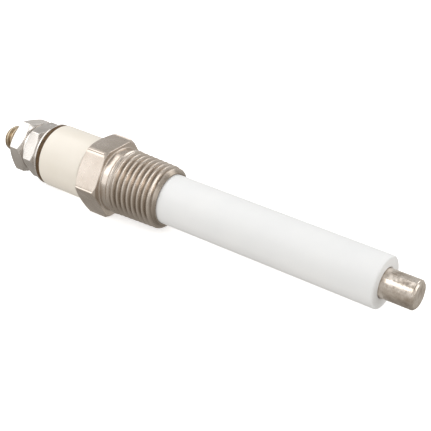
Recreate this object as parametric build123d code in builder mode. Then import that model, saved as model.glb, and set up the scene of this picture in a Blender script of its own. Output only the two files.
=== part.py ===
"""Ignition electrode with a tapered pipe thread, two ceramic insulators and a screw terminal.

The centre line runs along X. The electrode's bare tip points to +X and the terminal to -X.
The origin is on the centre line, in the shoulder where the hexagon meets the threaded neck,
and two flats of the hexagon face up and down.
"""
from build123d import *
import os
from math import atan, cos, degrees, pi, radians, tan

# ---- pipe thread on the shell: 1/8-27 NPT --------------------------------------------------
INCH = 25.4
PIPE_PITCH = INCH / 27
PIPE_TAPER = 1 / 32                 # radius gained for each millimetre along the axis
PIPE_END_RADIUS = 4.93              # crest radius at the small end
PIPE_DEPTH = 0.68
PIPE_START_X = 1.55
THREAD_HALF_ANGLE = 30              # of the V between two ridges, degrees
GROOVE_FLOOR = 0.1                  # width of the groove's floor, as a share of the pitch
GROOVE_OVERCUT = 0.04               # how far the cutting solid stands out of the crest

# ---- shell ---------------------------------------------------------------------------------
HEX_ACROSS_FLATS = 7 / 16 * INCH
HEX_LENGTH = 4.15
HEX_REAR_ANGLE = 30
HEX_FRONT_CUT = 0.45                # 45 degree chamfer over the corners of the front face
SHELL_END_X = 10.1
NECK_RADIUS = 5.05
NECK_STEP = 0.35
NECK_FILLET = 0.2
FRONT_CHAMFER = 0.8
SHELL_STEP_X = 1.1                  # the seat for the insulating ring, inside the shell
FRONT_BORE_RADIUS = 3.95
REAR_BORE_RADIUS = 3.3

# ---- insulators ----------------------------------------------------------------------------
UPPER_RADIUS = 5.05
UPPER_END_X = -12.5
UPPER_NECK_RADIUS = 3.22
UPPER_NECK_END_X = 0.75
UPPER_BORE_RADIUS = 2.25
UPPER_EDGE = 0.2
SLEEVE_RADIUS = 3.9
SLEEVE_END_X = 46.3
SLEEVE_EDGE = 0.3
SLEEVE_MOUTH_EDGE = 0.12
SLEEVE_BORE_RADIUS = 2.24
SLEEVE_POCKET_RADIUS = 3.26         # rear pocket that takes the stud's flange
POCKET_CLEARANCE = 0.1
CEMENT_START_X = 4.0
CEMENT_LENGTH = 2.2
CEMENT_DEPTH = 0.45

# ---- conductor -----------------------------------------------------------------------------
ROD_RADIUS = 11 / 64 * INCH / 2
ROD_TIP_X = 51.3
ROD_CHAMFER = 0.3
STUD_RADIUS = 2.08                  # 8-32 UNC, crest
STUD_PITCH = INCH / 32
STUD_DEPTH = 0.43
STUD_TIP_X = -23.05
STUD_THREAD_END_X = -13.1
STUD_CHAMFER = 0.4
FLANGE_RADIUS = 3.15
FLANGE_LENGTH = 1.5
SPIGOT_RADIUS = 1.1
SPIGOT_LENGTH = 6.0
SPIGOT_CLEARANCE = 0.04
SPIGOT_END_GAP = 0.25

# ---- seals, washers and nuts ---------------------------------------------------------------
SEAL_THICKNESS = 0.3
SEAL_RADIUS = 4.65
SEAT_RING_THICKNESS = 0.6
GASKET_THICKNESS = 0.75
GASKET_RADIUS = 4.9
CUP_LENGTH = 1.15
CUP_LARGE_RADIUS = 4.95
CUP_SMALL_RADIUS = 4.24
CUP_RIM = 0.26
NUT_ACROSS_FLATS = 5 / 16 * INCH
NUT_THICKNESS = 3 / 32 * INCH
NUT_CHAMFER_ANGLE = 30
NUT_BORE_CHAMFER = 0.2
WASHER_THICKNESS = 0.52
WASHER_RADIUS = 3.75
NUT_BORE_RADIUS = STUD_RADIUS + 0.07
WASHER_BORE_RADIUS = STUD_RADIUS + 0.12
JAM_NUT_TURN = -1.0
TERMINAL_NUT_TURN = -15.5

# ---- places that follow from the sizes above -----------------------------------------------
HEX_REAR_X = -HEX_LENGTH
UPPER_SHOULDER_X = HEX_REAR_X - SEAL_THICKNESS
FLANGE_X = SHELL_STEP_X + SEAT_RING_THICKNESS
ROD_START_X = FLANGE_X + FLANGE_LENGTH
GASKET_END_X = UPPER_END_X - GASKET_THICKNESS
CUP_END_X = GASKET_END_X - CUP_LENGTH
JAM_NUT_END_X = CUP_END_X - NUT_THICKNESS
WASHER_END_X = JAM_NUT_END_X - WASHER_THICKNESS

os.makedirs("parts", exist_ok=True)


def write(piece, name):
    """Label a finished piece and write it as its own file."""
    piece.label = name
    export_step(piece, f"parts/{name}.step")


def turned(points, mode=Mode.ADD):
    """Revolve an outline of (x, radius) points about the centre line, inside a part block."""
    with BuildSketch(Plane.XY) as outline:
        with BuildLine():
            Polyline(*points, close=True)
        make_face()
    revolve(outline.sketch, axis=Axis.X, mode=mode)


def ring(x_from, x_to, inner, outer, mode=Mode.ADD):
    """A plain ring about the centre line, inside a part block."""
    turned([(x_from, inner), (x_to, inner), (x_to, outer), (x_from, outer)], mode)


def hex_corner(flat):
    """The corner radius of a hexagon whose flats are at this distance from its centre."""
    return flat / cos(pi / 6)


def corner_cut(flat, angle):
    """How far along the axis a chamfer cone takes off a hexagon's corners."""
    return (hex_corner(flat) - flat) * tan(radians(angle))


def thread_groove(pitch, x_from, x_to, crest_from, crest_to, depth):
    """The V groove between the ridges of a 60 degree thread, as a solid to cut away.

    It winds in from x_from, past the threaded end, to x_to, where it stops in the metal.
    crest_from and crest_to are the crest's radii at those places.
    """
    length = abs(x_to - x_from)
    inward = Vector((x_to - x_from) / length, 0, 0)
    widening = degrees(atan((crest_to - crest_from) / length))
    spine = Helix(pitch, length, crest_from - depth, (x_from, 0, 0), inward, widening)
    start = spine @ 0
    outward = (start - Vector(x_from, 0, 0)).normalized()
    floor_half = pitch * GROOVE_FLOOR / 2
    above = depth + GROOVE_OVERCUT
    mouth_half = floor_half + above * tan(radians(THREAD_HALF_ANGLE))
    section = Plane(origin=start, x_dir=inward, z_dir=inward.cross(outward))
    with BuildPart() as groove:
        with BuildSketch(section):
            with BuildLine():
                Polyline((-floor_half, 0), (floor_half, 0), (mouth_half, above),
                         (-mouth_half, above), close=True)
            make_face()
        sweep(path=spine, is_frenet=True)
    return groove.part


def hex_nut(x_from, turn):
    """A hexagon nut from x_from towards -X, chamfered on both faces."""
    x_to = x_from - NUT_THICKNESS
    flat = NUT_ACROSS_FLATS / 2
    corner = hex_corner(flat)
    cut = corner_cut(flat, NUT_CHAMFER_ANGLE)
    with BuildPart() as nut:
        with BuildSketch(Plane.YZ.offset(x_to)):
            RegularPolygon(flat, 6, major_radius=False, rotation=turn)
        extrude(amount=NUT_THICKNESS)
        turned([(x_to, 0), (x_from, 0), (x_from, flat), (x_from - cut, corner),
                (x_to + cut, corner), (x_to, flat)], Mode.INTERSECT)
        ring(x_to, x_from, 0, NUT_BORE_RADIUS, Mode.SUBTRACT)
        bore_rims = nut.edges().filter_by(GeomType.CIRCLE).group_by(SortBy.RADIUS)[0]
        chamfer(bore_rims, NUT_BORE_CHAMFER)
    return nut.part


# ---- shell: hexagon, plain neck and tapered thread in one turned piece ---------------------
shell_flat = HEX_ACROSS_FLATS / 2
shell_corner = hex_corner(shell_flat)
rear_cut = corner_cut(shell_flat, HEX_REAR_ANGLE)
pipe_start_radius = PIPE_END_RADIUS + (SHELL_END_X - PIPE_START_X) * PIPE_TAPER
run_in_x = SHELL_END_X + PIPE_PITCH
run_in_radius = PIPE_END_RADIUS - PIPE_PITCH * PIPE_TAPER
pipe_groove = thread_groove(PIPE_PITCH, run_in_x, PIPE_START_X + PIPE_PITCH / 2, run_in_radius,
                            pipe_start_radius, PIPE_DEPTH)

with BuildPart() as shell:
    with BuildSketch(Plane.YZ.offset(HEX_REAR_X)):
        RegularPolygon(shell_flat, 6, major_radius=False)
    extrude(amount=HEX_LENGTH)
    turned([(HEX_REAR_X, 0), (0, 0), (0, shell_corner - HEX_FRONT_CUT),
            (-HEX_FRONT_CUT, shell_corner), (HEX_REAR_X + rear_cut, shell_corner),
            (HEX_REAR_X, shell_flat)], Mode.INTERSECT)
    turned([(HEX_REAR_X, 0), (SHELL_END_X, 0), (SHELL_END_X, PIPE_END_RADIUS - FRONT_CHAMFER),
            (SHELL_END_X - FRONT_CHAMFER, PIPE_END_RADIUS + FRONT_CHAMFER * PIPE_TAPER),
            (PIPE_START_X, pipe_start_radius), (PIPE_START_X - NECK_STEP, NECK_RADIUS),
            (HEX_REAR_X, NECK_RADIUS)])
    shoulder = shell.faces().filter_by(Plane.YZ).sort_by(Axis.X)[1]
    fillet(shoulder.edges().filter_by(GeomType.CIRCLE).sort_by(SortBy.RADIUS)[0], NECK_FILLET)
    add(pipe_groove, mode=Mode.SUBTRACT)
    ring(HEX_REAR_X, SHELL_END_X, 0, REAR_BORE_RADIUS, Mode.SUBTRACT)
    ring(SHELL_STEP_X, SHELL_END_X, 0, FRONT_BORE_RADIUS, Mode.SUBTRACT)
write(shell.part, "shell")

# ---- upper insulator: wide glazed body, and a neck that goes down into the shell -----------
with BuildPart() as upper_insulator:
    turned([(UPPER_END_X, UPPER_BORE_RADIUS), (UPPER_NECK_END_X, UPPER_BORE_RADIUS),
            (UPPER_NECK_END_X, UPPER_NECK_RADIUS), (UPPER_SHOULDER_X, UPPER_NECK_RADIUS),
            (UPPER_SHOULDER_X, UPPER_RADIUS), (UPPER_END_X, UPPER_RADIUS)])
    outer_rims = upper_insulator.edges().filter_by(GeomType.CIRCLE).group_by(SortBy.RADIUS)[-1]
    fillet(outer_rims, UPPER_EDGE)
write(upper_insulator.part, "upper_insulator")

# ---- lower insulator: long white sleeve, pocketed for the flange, grooved for the cement ---
groove_floor = SLEEVE_RADIUS - CEMENT_DEPTH
cement_end_x = CEMENT_START_X + CEMENT_LENGTH
with BuildPart() as lower_insulator:
    ring(FLANGE_X, SLEEVE_END_X, SLEEVE_BORE_RADIUS, SLEEVE_RADIUS)
    ring(FLANGE_X, ROD_START_X + POCKET_CLEARANCE, 0, SLEEVE_POCKET_RADIUS, Mode.SUBTRACT)
    ring(CEMENT_START_X, cement_end_x, groove_floor, 2 * SLEEVE_RADIUS, Mode.SUBTRACT)
    tip_rims = lower_insulator.edges().filter_by(GeomType.CIRCLE).group_by(Axis.X)[-1]
    fillet(tip_rims.sort_by(SortBy.RADIUS)[-1], SLEEVE_EDGE)
    tip_rims = lower_insulator.edges().filter_by(GeomType.CIRCLE).group_by(Axis.X)[-1]
    chamfer(tip_rims.sort_by(SortBy.RADIUS)[0], SLEEVE_MOUTH_EDGE)
write(lower_insulator.part, "lower_insulator")

# ---- conductor: a threaded stud with a flange, and the bare rod spigoted onto its end -------
stud_groove = thread_groove(STUD_PITCH, STUD_TIP_X - STUD_PITCH, STUD_THREAD_END_X, STUD_RADIUS,
                            STUD_RADIUS, STUD_DEPTH)
with BuildPart() as terminal_stud:
    turned([(STUD_TIP_X, 0), (ROD_START_X + SPIGOT_LENGTH, 0),
            (ROD_START_X + SPIGOT_LENGTH, SPIGOT_RADIUS), (ROD_START_X, SPIGOT_RADIUS),
            (ROD_START_X, FLANGE_RADIUS), (FLANGE_X, FLANGE_RADIUS), (FLANGE_X, STUD_RADIUS),
            (STUD_TIP_X + STUD_CHAMFER, STUD_RADIUS), (STUD_TIP_X, STUD_RADIUS - STUD_CHAMFER)])
    add(stud_groove, mode=Mode.SUBTRACT)
write(terminal_stud.part, "terminal_stud")

socket_end_x = ROD_START_X + SPIGOT_LENGTH + SPIGOT_END_GAP
with BuildPart() as electrode_rod:
    turned([(ROD_START_X, 0), (ROD_TIP_X, 0), (ROD_TIP_X, ROD_RADIUS - ROD_CHAMFER),
            (ROD_TIP_X - ROD_CHAMFER, ROD_RADIUS), (ROD_START_X, ROD_RADIUS)])
    ring(ROD_START_X, socket_end_x, 0, SPIGOT_RADIUS + SPIGOT_CLEARANCE, Mode.SUBTRACT)
write(electrode_rod.part, "electrode_rod")

# ---- seals, from the shell outwards ---------------------------------------------------------
with BuildPart() as seat_ring:
    ring(SHELL_STEP_X, FLANGE_X, WASHER_BORE_RADIUS, SLEEVE_RADIUS)
write(seat_ring.part, "seat_ring")

with BuildPart() as cement_ring:
    ring(CEMENT_START_X, cement_end_x, groove_floor, SLEEVE_RADIUS)
write(cement_ring.part, "cement_ring")

with BuildPart() as shell_seal:
    ring(UPPER_SHOULDER_X, HEX_REAR_X, REAR_BORE_RADIUS, SEAL_RADIUS)
write(shell_seal.part, "shell_seal")

with BuildPart() as terminal_gasket:
    ring(GASKET_END_X, UPPER_END_X, UPPER_BORE_RADIUS, GASKET_RADIUS)
write(terminal_gasket.part, "terminal_gasket")

# ---- terminal hardware, from the gasket outwards --------------------------------------------
with BuildPart() as cup_washer:
    turned([(CUP_END_X, WASHER_BORE_RADIUS), (GASKET_END_X, WASHER_BORE_RADIUS),
            (GASKET_END_X, CUP_LARGE_RADIUS), (GASKET_END_X - CUP_RIM, CUP_LARGE_RADIUS),
            (CUP_END_X, CUP_SMALL_RADIUS)])
write(cup_washer.part, "cup_washer")

write(hex_nut(CUP_END_X, JAM_NUT_TURN), "jam_nut")

with BuildPart() as terminal_washer:
    ring(WASHER_END_X, JAM_NUT_END_X, WASHER_BORE_RADIUS, WASHER_RADIUS)
write(terminal_washer.part, "terminal_washer")

write(hex_nut(WASHER_END_X, TERMINAL_NUT_TURN), "terminal_nut")
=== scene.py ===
"""Looks of the ignition electrode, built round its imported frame.

The centre line runs along X, with the bare tip at +X and the terminal at -X. Sizes here are in
millimetres and are turned into metres where a mesh is made. Every piece is an outline of
(x, radius) points wound round the centre line, and where the section isn't round, as on a
hexagon or a thread, the outline changes with the angle.
"""
from math import atan2, cos, floor, pi, radians, sin, sqrt, tan

import bmesh
import bpy
from mathutils import Matrix, Vector


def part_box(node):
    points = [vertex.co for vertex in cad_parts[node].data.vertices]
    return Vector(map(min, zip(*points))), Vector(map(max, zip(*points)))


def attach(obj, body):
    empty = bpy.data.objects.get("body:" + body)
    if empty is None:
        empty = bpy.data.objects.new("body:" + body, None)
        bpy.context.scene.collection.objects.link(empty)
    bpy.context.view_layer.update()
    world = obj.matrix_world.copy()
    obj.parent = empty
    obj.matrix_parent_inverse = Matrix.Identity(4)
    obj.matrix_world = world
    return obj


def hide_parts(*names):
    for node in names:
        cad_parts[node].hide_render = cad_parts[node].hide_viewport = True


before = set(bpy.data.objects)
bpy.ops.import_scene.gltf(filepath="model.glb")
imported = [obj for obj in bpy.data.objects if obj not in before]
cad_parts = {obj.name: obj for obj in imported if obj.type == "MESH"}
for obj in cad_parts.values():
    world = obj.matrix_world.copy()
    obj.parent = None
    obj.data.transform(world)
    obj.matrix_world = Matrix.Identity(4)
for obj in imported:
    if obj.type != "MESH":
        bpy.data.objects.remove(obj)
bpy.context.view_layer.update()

MM = 0.001
TURN = 2 * pi
MERGE = 2e-7                # points nearer than this, in metres, are one point
SHARP_ANGLE = radians(40)
FACE_WEIGHT = 80            # 50 is neutral, and more lets the larger faces lead the shading
ROWS_PER_TURN = 20          # of a thread's winding
SIDE = 60                   # degrees from one corner of a hexagon to the next
SIDE_STEP = 2.0             # degrees between the points along a side
CORNER_OFFSETS = [0, 0.3, 0.6, 0.9, 1.2, 1.8]       # degrees from a corner, where it bends

# ---- sizes that the frame's boxes don't give ------------------------------------------------
INCH = 25.4
HEX_FLAT = 7 / 16 * INCH / 2
NUT_FLAT = 5 / 16 * INCH / 2
HEX_SHOULDER_X = 0.0
HEX_FRONT_CUT = 0.45        # 45 degree chamfer over the corners of the front face
EDGE_BREAK = 0.06           # least chamfer of the front face, along the flats
HEX_FACE_INSET = 0.12       # from the flats in to the rear face's edge
NECK_RADIUS = 5.05
NECK_END_X = 1.2
NECK_FILLET = 0.2
PIPE_START_X = 1.55
PIPE_PITCH = INCH / 27
PIPE_END_RADIUS = 4.93
PIPE_TAPER = 1 / 32
PIPE_DEPTH = 0.68
PIPE_CHAMFER = 0.8
PIPE_GROOVE_X = 1.49        # where the groove's middle crosses the +Y side
PIPE_BLEND = 0.2            # softness of the ridges and the groove's floor
PIPE_FADE_START = 0.05      # past the thread's start
PIPE_FADE_TURNS = 0.8       # turns over which the groove reaches its full depth
PIPE_TONE_START = 0.2       # past the thread's start, where the groove's tone begins
SHELL_STEP_X = 1.1
FRONT_BORE = 3.95
REAR_BORE = 3.3
STUD_RADIUS = 2.08
STUD_PITCH = INCH / 32
STUD_DEPTH = 0.43
STUD_BLEND = 0.05
STUD_POINTS = 120           # round the stud
STUD_THREAD_END_X = -13.1
STUD_CHAMFER = 0.4
FLANGE_START_X = 1.7
FLANGE_END_X = 3.2
FLANGE_RADIUS = 3.15
SPIGOT_RADIUS = 1.1
THREAD_HALF_ANGLE = radians(30)
GROOVE_FLOOR = 0.1          # share of the pitch
JAM_NUT_TURN = radians(-1.0)
TERMINAL_NUT_TURN = radians(-15.5)
NUT_BORE = 2.15
NUT_BORE_CHAMFER = 0.2
NUT_FACE_INSET = 0.16       # from the flats in to a face's edge
WASHER_BORE = 2.2
CUP_SMALL_RADIUS = 4.24
CUP_RIM = 0.26
UPPER_BORE = 2.25
UPPER_NECK = 3.22
SLEEVE_BORE = 2.24
SLEEVE_POCKET = 3.26
POCKET_END_X = 3.3
MOUTH_EDGE = 0.12
CEMENT_START_X = 4.0
CEMENT_END_X = 6.2
CEMENT_FLOOR = 3.45
ROD_CHAMFER = 0.3
ROD_SOCKET_END_X = 9.45
ROD_SOCKET_RADIUS = 1.14

# ---- roundings of the edges -----------------------------------------------------------------
HEX_ROUND = 0.2             # down the corners of every hexagon
SHELL_BORE_ROUND = 0.08
SHELL_REAR_ROUND = 0.07
SHELL_FRONT_ROUND = 0.05
NECK_ROUND = 0.12
UPPER_BORE_ROUND = 0.08
UPPER_NECK_ROUND = 0.1
UPPER_ROUND = 0.2
MOUTH_ROUND = 0.05
SLEEVE_ROUND = 0.3
ROD_REAR_ROUND = 0.08
ROD_TIP_ROUND = 0.2
GASKET_ROUND = 0.09
CUP_BORE_ROUND = 0.04
CUP_ROUND = 0.08
CUP_SHOULDER_ROUND = 0.15
WASHER_BORE_ROUND = 0.05
WASHER_ROUND = 0.12
NUT_BORE_ROUND = 0.04
NUT_FACE_ROUND = 0.08
NUT_CORNER_ROUND = 0.1


# ---- outlines and meshes --------------------------------------------------------------------
def span(node):
    """A node's ends along the centre line, and its largest radius across Y, in millimetres."""
    low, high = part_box(node)
    return low[0] / MM, high[0] / MM, high[1] / MM


def rounded(corners, steps=5):
    """An outline's points, with each (x, radius, rounding) corner turned into a small arc."""
    points = []
    count = len(corners)
    for n, (x, radius, size) in enumerate(corners):
        here = Vector((x, radius))
        if size == 0:
            points.append((x, radius))
            continue
        back = (Vector(corners[n - 1][:2]) - here).normalized()
        ahead = (Vector(corners[(n + 1) % count][:2]) - here).normalized()
        half = back.angle(ahead) / 2
        middle = here + (back + ahead).normalized() * (size / sin(half))
        first = (here + back * (size / tan(half)) - middle).normalized()
        last = (here + ahead * (size / tan(half)) - middle).normalized()
        sweep = first.angle(last)
        for step in range(steps + 1):
            share = step / steps
            way = first * sin((1 - share) * sweep) + last * sin(share * sweep)
            points.append(tuple(middle + way / sin(sweep) * size))
    return points


def even_angles(count):
    """Angles about the centre line, evenly spread."""
    return [TURN * n / count for n in range(count)]


def hex_angles(turn):
    """Angles for a hexagon turned by this much, closer together at its six corners."""
    near = CORNER_OFFSETS
    steps = int((SIDE - 2 * near[-1]) / SIDE_STEP)
    wide = [near[-1] + SIDE_STEP * n for n in range(1, steps)]
    offsets = near + wide + [SIDE - offset for offset in reversed(near[1:])]
    return [turn + radians(SIDE * side + offset) for side in range(6) for offset in offsets]


def hex_radius(flat, turn, rounding):
    """A function from an angle to the radius of a hexagon with softened corners."""
    def at(angle):
        lean = (angle - turn + pi / 6) % (pi / 3) - pi / 6
        middle = (flat - rounding) / cos(pi / 6)
        across = middle * sin(abs(lean))
        plain = flat / cos(pi / 6 - abs(lean))
        if across >= rounding:
            return plain
        return min(plain, middle * cos(lean) + sqrt(rounding ** 2 - across ** 2))
    return at


def soft_min(a, b, blend):
    """The smaller of two heights, with the corner between them rounded."""
    gap = max(blend - abs(a - b), 0) / blend
    return min(a, b) - gap * gap * blend / 4


def smooth(value, low, high):
    """A soft step from 0 at low to 1 at high."""
    share = min(max((value - low) / (high - low), 0), 1)
    return share * share * (3 - 2 * share)


def groove_height(x, angle, start, pitch, depth, blend):
    """How far a right-hand thread's surface stands over the floor of its groove."""
    turns = (x - start) / pitch - angle / TURN
    away = abs(turns - floor(turns + 0.5)) * pitch
    wall = (away - pitch * GROOVE_FLOOR / 2) / tan(THREAD_HALF_ANGLE)
    wall = -soft_min(-wall, 0, blend)
    return soft_min(wall, depth, blend)


def spiral_rows(angles, x_from, x_to, pitch, radius_at):
    """Rows that follow a thread's winding, held within x_from and x_to."""
    per_turn = ROWS_PER_TURN
    turns = (x_to - x_from) / pitch
    count = int((turns + 1) * per_turn) + 2
    rows = []
    for n in range(count):
        row = []
        for angle in angles:
            x = x_from + pitch * (n / per_turn - 1 + (angle - angles[0]) / TURN)
            x = min(max(x, x_from), x_to)
            row.append((x, radius_at(x, angle)))
        rows.append(row)
    return rows, per_turn


def plain_rows(angles, outline_at):
    """Rows from an outline that is worked out for each angle."""
    outlines = [outline_at(angle) for angle in angles]
    return [list(row) for row in zip(*outlines)], 0


def wound(name, angles, bands):
    """A closed, smooth mesh from bands of rows that meet end to end.

    Each band is its rows and its seam: how many rows later a row meets itself after one turn.
    """
    work = bmesh.new()
    for rows, seam in bands:
        grid = [[work.verts.new((x * MM, radius * cos(angle) * MM, radius * sin(angle) * MM))
                 for (x, radius), angle in zip(row, angles)] for row in rows]
        for k in range(len(rows) - 1):
            for i in range(len(angles)):
                if i + 1 < len(angles):
                    ahead, ahead_up = grid[k][i + 1], grid[k + 1][i + 1]
                elif k + 1 + seam < len(rows):
                    ahead, ahead_up = grid[k + seam][0], grid[k + 1 + seam][0]
                else:
                    continue
                work.faces.new((grid[k][i], ahead, ahead_up, grid[k + 1][i]))
    bmesh.ops.remove_doubles(work, verts=work.verts, dist=MERGE)
    bmesh.ops.dissolve_degenerate(work, edges=work.edges, dist=MERGE)
    bmesh.ops.recalc_face_normals(work, faces=work.faces)
    for face in work.faces:
        face.smooth = True
    mesh = bpy.data.meshes.new(name)
    work.to_mesh(mesh)
    work.free()
    mesh.set_sharp_from_angle(angle=SHARP_ANGLE)
    piece = bpy.data.objects.new(name, mesh)
    bpy.context.scene.collection.objects.link(piece)
    weights = piece.modifiers.new("face_weights", "WEIGHTED_NORMAL")
    weights.keep_sharp = True
    weights.weight = FACE_WEIGHT
    return piece


def turned(name, corners, count, steps):
    """A round piece with count points round it, from one outline with steps in each rounding.

    The outline closes on itself, or starts and ends on the centre line.
    """
    points = rounded(corners, steps)
    if corners[0][1] > 0:
        points.append(points[0])
    angles = even_angles(count)
    return wound(name, angles, [plain_rows(angles, lambda angle: points)])


def dress(piece, node, body, material):
    """Put a piece in the place of a CAD node, on its body and with its finish."""
    piece.data.materials.append(material)
    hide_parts(node)
    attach(piece, body)


# ---- materials ------------------------------------------------------------------------------
def fill_ramp(ramp, stops):
    """Set a colour ramp to (place, colour) stops, where a grey can be given as one level."""
    while len(ramp.elements) < len(stops):
        ramp.elements.new(0.5)
    for element, (where, colour) in zip(ramp.elements, stops):
        element.position = where
        level = colour if isinstance(colour, tuple) else (colour,) * 3
        element.color = (*level, 1)


class Finish:
    """A node material with one shader, and short calls that add its texture nodes."""

    def __init__(self, name, **values):
        self.material = bpy.data.materials.new(name)
        self.material.use_nodes = True
        self.tree = self.material.node_tree
        self.shader = self.tree.nodes["Principled BSDF"]
        for socket, value in values.items():
            self.shader.inputs[socket.replace("_", " ")].default_value = value
        place = self.tree.nodes.new("ShaderNodeTexCoord")
        self.place = place.outputs["Object"]
        self.height = None

    def feed(self, socket, value):
        """Join a socket to another one, or set it to a value or a colour."""
        if isinstance(value, bpy.types.NodeSocket):
            self.tree.links.new(value, socket)
        elif isinstance(value, tuple):
            socket.default_value = (*value, 1)
        else:
            socket.default_value = value

    def node(self, kind, **links):
        """A new node, with each named input joined to a socket or set to a value."""
        made = self.tree.nodes.new(kind)
        for name, value in links.items():
            self.feed(made.inputs[name.replace("_", " ")], value)
        return made

    def math(self, operation, *values):
        """One sum on one to three values."""
        made = self.tree.nodes.new("ShaderNodeMath")
        made.operation = operation
        for socket, value in zip(made.inputs, values):
            self.feed(socket, value)
        return made.outputs["Value"]

    def stretched(self, x, y, z):
        """The object's coordinates, scaled along each axis."""
        made = self.node("ShaderNodeMapping", Vector=self.place)
        made.inputs["Scale"].default_value = (x, y, z)
        return made.outputs["Vector"]

    def noise(self, scale, detail, place=None):
        """Cloudy noise from 0 to 1. The scale is in cells for each metre."""
        made = self.node("ShaderNodeTexNoise", Vector=place or self.place, Scale=scale,
                         Detail=detail)
        return made.outputs["Fac"]

    def ramp(self, value, stops):
        """A colour or level read off along a row of (place, colour) stops."""
        made = self.node("ShaderNodeValToRGB", Fac=value)
        fill_ramp(made.color_ramp, stops)
        return made.outputs["Color"]

    def mix(self, factor, first, second):
        """Two colours mixed."""
        made = self.tree.nodes.new("ShaderNodeMix")
        made.data_type = "RGBA"
        sockets = [socket for socket in made.inputs if socket.enabled]
        for socket, value in zip(sockets, (factor, first, second)):
            self.feed(socket, value)
        return [socket for socket in made.outputs if socket.enabled][0]

    def radius(self):
        """The distance from the centre line and the place along it, in metres."""
        apart = self.node("ShaderNodeSeparateXYZ", Vector=self.place)
        across = self.math("MULTIPLY", apart.outputs["Y"], apart.outputs["Y"])
        upward = self.math("MULTIPLY", apart.outputs["Z"], apart.outputs["Z"])
        return self.math("SQRT", self.math("ADD", across, upward)), apart.outputs["X"]

    def bump(self, height, distance):
        """Lay one more relief over the surface. The distance is in metres."""
        links = {"Height": height, "Distance": distance, "Strength": 1.0}
        if self.height:
            links["Normal"] = self.height
        self.height = self.node("ShaderNodeBump", **links).outputs["Normal"]
        self.tree.links.new(self.height, self.shader.inputs["Normal"])

    def link(self, value, socket):
        """Join a worked-out value to the shader."""
        self.tree.links.new(value, self.shader.inputs[socket])


FLECK_SCALE = 3200.0        # cells for each metre
GLOSS_SCALE = 900.0
TOOL_SCALE = (9000.0, 260.0, 260.0)
FLECK_SHARE = 0.25          # of the light tone, laid over the cloudy one
GLOSS_LOW = 0.8             # shares of the metal's roughness
GLOSS_HIGH = 1.35
METAL_RELIEF = 2e-6         # metres
FLECK_RELIEF = METAL_RELIEF * 0.8


def metal(name, light, dark, rough, blotch=260.0):
    """Metal with a cloudy tone, tool marks round the centre line and an uneven gloss."""
    made = Finish(name, Metallic=1.0)
    tone = made.noise(blotch, 5.0)
    fleck = made.noise(FLECK_SCALE, 4.0)
    shade = made.ramp(tone, [(0.32, dark), (0.68, light)])
    made.link(made.mix(made.math("MULTIPLY", fleck, FLECK_SHARE), shade, light), "Base Color")
    gloss = made.ramp(made.noise(GLOSS_SCALE, 4.0),
                      [(0.3, rough * GLOSS_LOW), (0.75, rough * GLOSS_HIGH)])
    made.link(gloss, "Roughness")
    made.bump(made.noise(1.0, 2.0, made.stretched(*TOOL_SCALE)), METAL_RELIEF)
    made.bump(fleck, FLECK_RELIEF)
    return made


nickel = metal("satin_nickel", light=(0.72, 0.65, 0.585), dark=(0.57, 0.50, 0.435), rough=0.27)
bright_nickel = metal("bright_nickel", light=(0.78, 0.745, 0.71), dark=(0.62, 0.585, 0.55),
                      rough=0.22)
stud_metal = metal("tarnished_steel", light=(0.62, 0.53, 0.40), dark=(0.40, 0.31, 0.21),
                   rough=0.3)
rod_metal = metal("mottled_alloy", light=(0.84, 0.77, 0.70), dark=(0.44, 0.37, 0.30),
                  rough=0.23, blotch=800.0)

# the thread's groove is painted darker than the rest of the shell, deeper down more: painted shade
# in the recess, and partly oil and dirt
GROOVE_SHADE = 0.75
GROOVE_COLOUR = (0.30, 0.25, 0.20)
GROOVE_STOPS = [(0.1, 0.0), (0.6, 1.0)]     # millimetres under the crest, and how dark
shell_rear, shell_front, _ = span("shell")
shell_radius, shell_x = nickel.radius()
crest_line = nickel.math("MULTIPLY_ADD", shell_x, -PIPE_TAPER,
                         (PIPE_END_RADIUS + shell_front * PIPE_TAPER) * MM)
sunk = nickel.math("SUBTRACT", crest_line, shell_radius)
threaded = nickel.math("GREATER_THAN", shell_x, (PIPE_START_X + PIPE_TONE_START) * MM)
depth_shade = nickel.ramp(nickel.math("MULTIPLY", sunk, 1 / MM), GROOVE_STOPS)
groove = nickel.math("MULTIPLY", depth_shade, threaded)
plain_tone = nickel.shader.inputs["Base Color"].links[0].from_socket
# painted shade, with some dirt, mixed into the groove's colour
nickel.link(nickel.mix(nickel.math("MULTIPLY", groove, GROOVE_SHADE), plain_tone, GROOVE_COLOUR),
            "Base Color")

wavy = rod_metal.noise(620.0, 2.5, rod_metal.stretched(0.7, 1.0, 1.0))
rod_metal.bump(wavy, 1.5e-4)

cream = Finish("cream_glaze", Roughness=0.3, Coat_Weight=0.3, Coat_Roughness=0.22, IOR=1.5)
cream_tone = cream.noise(130.0, 3.0)
cream_speck = cream.ramp(cream.noise(2600.0, 2.0), [(0.70, 0.0), (0.80, 1.0)])
cream_base = cream.ramp(cream_tone, [(0.3, (0.88, 0.82, 0.725)), (0.7, (0.92, 0.865, 0.775))])
cream.link(cream.mix(cream.math("MULTIPLY", cream_speck, 0.12), cream_base,
                     (0.62, 0.52, 0.38)), "Base Color")
cream.bump(cream.noise(420.0, 2.0), 1.2e-5)

white = Finish("white_ceramic", Roughness=0.42, IOR=1.52)
white_tone = white.noise(180.0, 4.0)
white_base = white.ramp(white_tone, [(0.3, (0.855, 0.865, 0.87)), (0.7, (0.885, 0.89, 0.89))])
white.link(white_base, "Base Color")
white.link(white.ramp(white.noise(700.0, 3.0), [(0.3, 0.36), (0.7, 0.5)]), "Roughness")
white.bump(white.noise(5200.0, 4.0), 2.5e-6)
white.bump(white.noise(300.0, 2.0), 6e-6)

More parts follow.
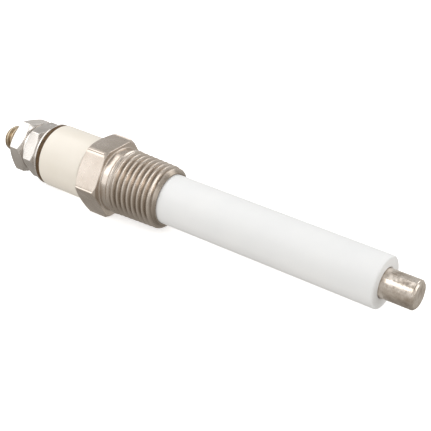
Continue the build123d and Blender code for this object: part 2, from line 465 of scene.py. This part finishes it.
fibre = Finish("brown_fibre", Roughness=0.82)
fibre_tone = fibre.noise(1.0, 5.0, fibre.stretched(5200.0, 1400.0, 1400.0))
fibre.link(fibre.ramp(fibre_tone, [(0.3, (0.055, 0.030, 0.012)), (0.75, (0.17, 0.10, 0.045))]),
           "Base Color")
fibre.bump(fibre_tone, 3e-5)

soft = metal("soft_seal_metal", light=(0.66, 0.65, 0.63), dark=(0.48, 0.47, 0.45), rough=0.42)
cement = Finish("ceramic_cement", Roughness=0.85)
cement_tone = cement.noise(2400.0, 6.0)
cement.link(cement.ramp(cement_tone, [(0.3, (0.70, 0.67, 0.60)), (0.7, (0.85, 0.82, 0.76))]),
            "Base Color")
cement.bump(cement_tone, 4e-5)

# ---- shell ----------------------------------------------------------------------------------
shell_hex = hex_radius(HEX_FLAT, 0.0, HEX_ROUND)
hex_face = HEX_FLAT - HEX_FACE_INSET
front_face = HEX_FLAT / cos(pi / 6) - HEX_FRONT_CUT
chamfer_x = shell_front - PIPE_CHAMFER


def crest_at(x):
    """The crest's radius on the tapered thread."""
    return PIPE_END_RADIUS + (shell_front - x) * PIPE_TAPER


def hex_end_outline(angle):
    """The shell from its bore, round the hexagon and along the neck to the first ridge."""
    corner = shell_hex(angle)
    cut = (corner - hex_face) * tan(THREAD_HALF_ANGLE)
    front_cut = max(corner - front_face, EDGE_BREAK)
    return rounded([
        (PIPE_START_X, REAR_BORE, 0), (shell_rear, REAR_BORE, SHELL_BORE_ROUND),
        (shell_rear, hex_face, SHELL_REAR_ROUND), (shell_rear + cut, corner, SHELL_REAR_ROUND),
        (HEX_SHOULDER_X - front_cut, corner, SHELL_FRONT_ROUND),
        (HEX_SHOULDER_X, corner - front_cut, SHELL_FRONT_ROUND),
        (HEX_SHOULDER_X, NECK_RADIUS, NECK_FILLET), (NECK_END_X, NECK_RADIUS, NECK_ROUND),
        (PIPE_START_X, crest_at(PIPE_START_X), 0)])[1:]


def pipe_radius(x, angle):
    """The tapered thread, which fades out at the neck and is chamfered at the front."""
    height = groove_height(x, angle, PIPE_GROOVE_X, PIPE_PITCH, PIPE_DEPTH, PIPE_BLEND)
    share = smooth(x, PIPE_START_X + PIPE_FADE_START,
                   PIPE_START_X + PIPE_FADE_TURNS * PIPE_PITCH)
    thread = crest_at(x) - (PIPE_DEPTH - height) * share
    chamfer = crest_at(chamfer_x) - (x - chamfer_x)
    return min(thread, chamfer)


def front_outline(angle):
    """The shell's front face and bore, back to where the outline starts."""
    edge = pipe_radius(shell_front, angle)
    return rounded([
        (shell_front, edge, 0), (shell_front, FRONT_BORE, SHELL_FRONT_ROUND),
        (SHELL_STEP_X, FRONT_BORE, 0), (SHELL_STEP_X, REAR_BORE, 0)]) + [hex_end_outline(angle)[0]]


shell_angles = hex_angles(0.0)
shell = wound("shell_turned", shell_angles, [
    plain_rows(shell_angles, hex_end_outline),
    spiral_rows(shell_angles, PIPE_START_X, shell_front, PIPE_PITCH, pipe_radius),
    plain_rows(shell_angles, front_outline)])
dress(shell, "shell", "electrode", nickel.material)

# ---- insulators -----------------------------------------------------------------------------
upper_end, upper_neck_end, upper_radius = span("upper_insulator")
seal_rear, _, _ = span("shell_seal")
upper = turned("upper_insulator_glazed", [
    (upper_end, UPPER_BORE, UPPER_BORE_ROUND), (upper_neck_end, UPPER_BORE, UPPER_BORE_ROUND),
    (upper_neck_end, UPPER_NECK, UPPER_NECK_ROUND), (seal_rear, UPPER_NECK, 0),
    (seal_rear, upper_radius, UPPER_ROUND), (upper_end, upper_radius, UPPER_ROUND)],
    count=160, steps=7)
dress(upper, "upper_insulator", "electrode", cream.material)

sleeve_rear, sleeve_end, sleeve_radius = span("lower_insulator")
sleeve = turned("lower_insulator_sleeve", [
    (sleeve_rear, SLEEVE_POCKET, 0), (POCKET_END_X, SLEEVE_POCKET, 0),
    (POCKET_END_X, SLEEVE_BORE, 0), (sleeve_end - MOUTH_EDGE, SLEEVE_BORE, MOUTH_ROUND),
    (sleeve_end, SLEEVE_BORE + MOUTH_EDGE, MOUTH_ROUND),
    (sleeve_end, sleeve_radius, SLEEVE_ROUND), (CEMENT_END_X, sleeve_radius, 0),
    (CEMENT_END_X, CEMENT_FLOOR, 0), (CEMENT_START_X, CEMENT_FLOOR, 0),
    (CEMENT_START_X, sleeve_radius, 0), (sleeve_rear, sleeve_radius, 0)],
    count=160, steps=8)
dress(sleeve, "lower_insulator", "electrode", white.material)

# ---- rod and stud ---------------------------------------------------------------------------
rod_start, rod_tip, rod_radius = span("electrode_rod")
rod = turned("electrode_rod_drawn", [
    (ROD_SOCKET_END_X, 0, 0), (ROD_SOCKET_END_X, ROD_SOCKET_RADIUS, 0),
    (rod_start, ROD_SOCKET_RADIUS, 0), (rod_start, rod_radius, ROD_REAR_ROUND),
    (rod_tip - ROD_CHAMFER, rod_radius, ROD_TIP_ROUND),
    (rod_tip, rod_radius - ROD_CHAMFER, ROD_TIP_ROUND), (rod_tip, 0, 0)], count=128, steps=5)
dress(rod, "electrode_rod", "electrode", rod_metal.material)

stud_tip, stud_end, _ = span("terminal_stud")


def stud_thread(x, angle):
    """The stud's thread, cut through the chamfer at its tip and fading out under the nuts."""
    height = groove_height(x, angle, stud_tip, STUD_PITCH, STUD_DEPTH, STUD_BLEND)
    share = 1 - smooth(x, STUD_THREAD_END_X - STUD_PITCH, STUD_THREAD_END_X)
    thread = STUD_RADIUS - (STUD_DEPTH - height) * share
    return min(thread, STUD_RADIUS - STUD_CHAMFER + (x - stud_tip))


def stud_end_outline(angle):
    """The flat end of the stud, from the centre out to the thread."""
    return [(stud_tip, 0), (stud_tip, stud_thread(stud_tip, angle))]


stud_angles = even_angles(STUD_POINTS)
stud_shaft = [(STUD_THREAD_END_X, STUD_RADIUS), (FLANGE_START_X, STUD_RADIUS),
              (FLANGE_START_X, FLANGE_RADIUS), (FLANGE_END_X, FLANGE_RADIUS),
              (FLANGE_END_X, SPIGOT_RADIUS), (stud_end, SPIGOT_RADIUS), (stud_end, 0)]
stud = wound("terminal_stud_threaded", stud_angles, [
    plain_rows(stud_angles, stud_end_outline),
    spiral_rows(stud_angles, stud_tip, STUD_THREAD_END_X, STUD_PITCH, stud_thread),
    plain_rows(stud_angles, lambda angle: stud_shaft)])
dress(stud, "terminal_stud", "electrode", stud_metal.material)

# ---- terminal hardware ----------------------------------------------------------------------
gasket_rear, gasket_front, gasket_radius = span("terminal_gasket")
gasket = turned("terminal_gasket_fibre", [
    (gasket_rear, UPPER_BORE, 0), (gasket_front, UPPER_BORE, 0),
    (gasket_front, gasket_radius, GASKET_ROUND), (gasket_rear, gasket_radius, GASKET_ROUND)],
    count=128, steps=4)
dress(gasket, "terminal_gasket", "electrode", fibre.material)

cup_rear, cup_front, cup_radius = span("cup_washer")
cup = turned("cup_washer_tapered", [
    (cup_rear, WASHER_BORE, CUP_ROUND), (cup_front, WASHER_BORE, CUP_BORE_ROUND),
    (cup_front, cup_radius, CUP_ROUND), (cup_front - CUP_RIM, cup_radius, CUP_ROUND),
    (cup_rear, CUP_SMALL_RADIUS, CUP_SHOULDER_ROUND)], count=128, steps=5)
dress(cup, "cup_washer", "cup_washer", bright_nickel.material)

washer_rear, washer_front, washer_radius = span("terminal_washer")
washer = turned("terminal_washer_flat", [
    (washer_rear, WASHER_BORE, WASHER_BORE_ROUND), (washer_front, WASHER_BORE, WASHER_BORE_ROUND),
    (washer_front, washer_radius, WASHER_ROUND), (washer_rear, washer_radius, WASHER_ROUND)],
    count=128, steps=4)
dress(washer, "terminal_washer", "terminal_washer", bright_nickel.material)


def hex_nut(name, node, turn):
    """A hexagon nut with softened corners and both faces chamfered."""
    rear, front, _ = span(node)
    corner_at = hex_radius(NUT_FLAT, turn, HEX_ROUND)
    face = NUT_FLAT - NUT_FACE_INSET
    mouth = NUT_BORE + NUT_BORE_CHAMFER

    def outline(angle):
        corner = corner_at(angle)
        cut = (corner - face) * tan(THREAD_HALF_ANGLE)
        points = rounded([
            (rear, mouth, NUT_BORE_ROUND), (rear, face, NUT_FACE_ROUND),
            (rear + cut, corner, NUT_CORNER_ROUND), (front - cut, corner, NUT_CORNER_ROUND),
            (front, face, NUT_FACE_ROUND), (front, mouth, NUT_BORE_ROUND),
            (front - NUT_BORE_CHAMFER, NUT_BORE, NUT_BORE_ROUND),
            (rear + NUT_BORE_CHAMFER, NUT_BORE, NUT_BORE_ROUND)], steps=4)
        return points + [points[0]]

    angles = hex_angles(turn)
    return wound(name, angles, [plain_rows(angles, outline)])


jam_nut = hex_nut("jam_nut_hex", "jam_nut", JAM_NUT_TURN)
dress(jam_nut, "jam_nut", "jam_nut", bright_nickel.material)
terminal_nut = hex_nut("terminal_nut_hex", "terminal_nut", TERMINAL_NUT_TURN)
dress(terminal_nut, "terminal_nut", "terminal_nut", bright_nickel.material)

# ---- hidden seals keep their CAD shape ------------------------------------------------------
for node, finish in (("shell_seal", soft), ("seat_ring", fibre), ("cement_ring", cement)):
    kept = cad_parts[node]
    kept.data.materials.clear()
    kept.data.materials.append(finish.material)

# ---- camera ---------------------------------------------------------------------------------
CAMERA_PLACE = Vector((0.096818, -0.115363, 0.081471))          # metres
CAMERA_AIM = Vector((-0.48692, 0.71387, -0.50329)).normalized()
CAMERA_ROLL = radians(2.354)
CAMERA_LENS = 91.88         # millimetres
CAMERA_SENSOR = 36          # millimetres
CAMERA_NEAR = 0.01          # metres

level = CAMERA_AIM.cross(Vector((0, 0, 1))).normalized()
above = level.cross(CAMERA_AIM)
right = level * cos(CAMERA_ROLL) + above * sin(CAMERA_ROLL)
upward = above * cos(CAMERA_ROLL) - level * sin(CAMERA_ROLL)
facing = Matrix((right, upward, -CAMERA_AIM)).transposed().to_4x4()
lens = bpy.data.cameras.new("camera")
lens.lens = CAMERA_LENS
lens.sensor_width = CAMERA_SENSOR
lens.clip_start = CAMERA_NEAR
camera = bpy.data.objects.new("camera", lens)
camera.matrix_world = Matrix.Translation(CAMERA_PLACE) @ facing
bpy.context.scene.collection.objects.link(camera)
bpy.context.scene.camera = camera

# ---- floor, just under the hexagon's lower flat and the sleeve's end --------------------------
FLOOR_HALF = 3.0            # metres
FLOOR_GAP = 2e-5            # metres under the hexagon's lower flat
floor_tilt = atan2((HEX_FLAT - sleeve_radius) * MM, (sleeve_end - HEX_SHOULDER_X) * MM)
floor_mesh = bpy.data.meshes.new("studio_floor")
floor_mesh.from_pydata([(x * FLOOR_HALF, y * FLOOR_HALF, 0)
                        for x, y in ((-1, -1), (1, -1), (1, 1), (-1, 1))], [], [(0, 1, 2, 3)])
studio_floor = bpy.data.objects.new("studio_floor", floor_mesh)
studio_floor.location = (HEX_SHOULDER_X * MM, 0, -HEX_FLAT * MM - FLOOR_GAP)
studio_floor.rotation_euler = (0, -floor_tilt, 0)
bpy.context.scene.collection.objects.link(studio_floor)
paper = Finish("studio_paper", Roughness=0.9, Base_Color=(0.93, 0.93, 0.93, 1),
               Emission_Color=(1, 1, 1, 1), Emission_Strength=0.6)
paper.bump(paper.noise(900.0, 3.0), 1e-5)
floor_mesh.materials.append(paper.material)
# seen by the camera alone, so that the metals mirror the studio and the white stays clean
studio_floor.visible_glossy = False
studio_floor.visible_diffuse = False
studio_floor.visible_shadow = False

# ---- light ----------------------------------------------------------------------------------
bpy.context.scene.view_settings.view_transform = "Standard"
bpy.context.scene.view_settings.look = "None"


# name, direction from the object, metres away, metres wide, brightness, seen in the metals
SOFTBOXES = (
    ("key", (-0.55, -0.46, 0.70), 0.52, 0.30, 1.6, True),
    ("top", (-0.55, 0.08, 0.83), 0.52, 0.30, 1.5, True),
    ("back", (0.25, 0.70, 0.67), 0.60, 0.40, 1.5, True),
    ("flank", (0.93, 0.20, 0.25), 0.55, 0.34, 1.6, True),
    ("rod", (-0.23, -0.637, 0.735), 0.48, 0.22, 1.7, True),
    ("bounce", (0.0, -0.5, -0.86), 0.60, 0.50, 1.1, False),
    ("side", (-0.57, -0.78, 0.26), 0.52, 0.30, 0.75, True),
    ("fill", (0.75, -0.55, 0.35), 0.6, 0.35, 0.7, True),
)
for name, aim, distance, size, radiance, mirrored in SOFTBOXES:
    data = bpy.data.lights.new(name, "AREA")
    data.size = size
    data.energy = radiance * pi * size * size
    softbox = bpy.data.objects.new(name, data)
    way = Vector(aim).normalized()
    turn = way.to_track_quat("Z", "Y").to_matrix().to_4x4()
    softbox.matrix_world = Matrix.Translation(way * distance) @ turn
    softbox.visible_camera = False
    softbox.visible_glossy = mirrored
    bpy.context.scene.collection.objects.link(softbox)

# place from straight down at 0 to straight up at 1, and brightness
SKY_SHADES = ((0.0, 0.32), (0.1, 0.38), (0.26, 0.52), (0.47, 0.60), (0.53, 0.76), (0.62, 0.58),
              (0.8, 0.52), (1.0, 0.55))
SKY_TINT = (1.0, 0.985, 0.96)
LOW_TINT = (0.0, 0.035, 0.08)           # taken off the tint below the horizon
LOW_FADE = (0.3, 0.6)                   # places between which that fades out


def sky_colour(where, shade):
    """The sky's colour at a place, a little warmer below the horizon."""
    warm = 1 - smooth(where, *LOW_FADE)
    return tuple(shade * (tint - less * warm) for tint, less in zip(SKY_TINT, LOW_TINT))


world = bpy.data.worlds.new("studio")
world.use_nodes = True
bpy.context.scene.world = world
sky = world.node_tree
direction = sky.nodes.new("ShaderNodeTexCoord")
parts = sky.nodes.new("ShaderNodeSeparateXYZ")
sky.links.new(direction.outputs["Generated"], parts.inputs["Vector"])
lift = sky.nodes.new("ShaderNodeMath")
lift.operation = "MULTIPLY_ADD"
lift.inputs[1].default_value = 0.5
lift.inputs[2].default_value = 0.5
sky.links.new(parts.outputs["Z"], lift.inputs[0])
shades = sky.nodes.new("ShaderNodeValToRGB")
sky.links.new(lift.outputs["Value"], shades.inputs["Fac"])
fill_ramp(shades.color_ramp, [(where, sky_colour(where, shade)) for where, shade in SKY_SHADES])
sky.links.new(shades.outputs["Color"], sky.nodes["Background"].inputs["Color"])
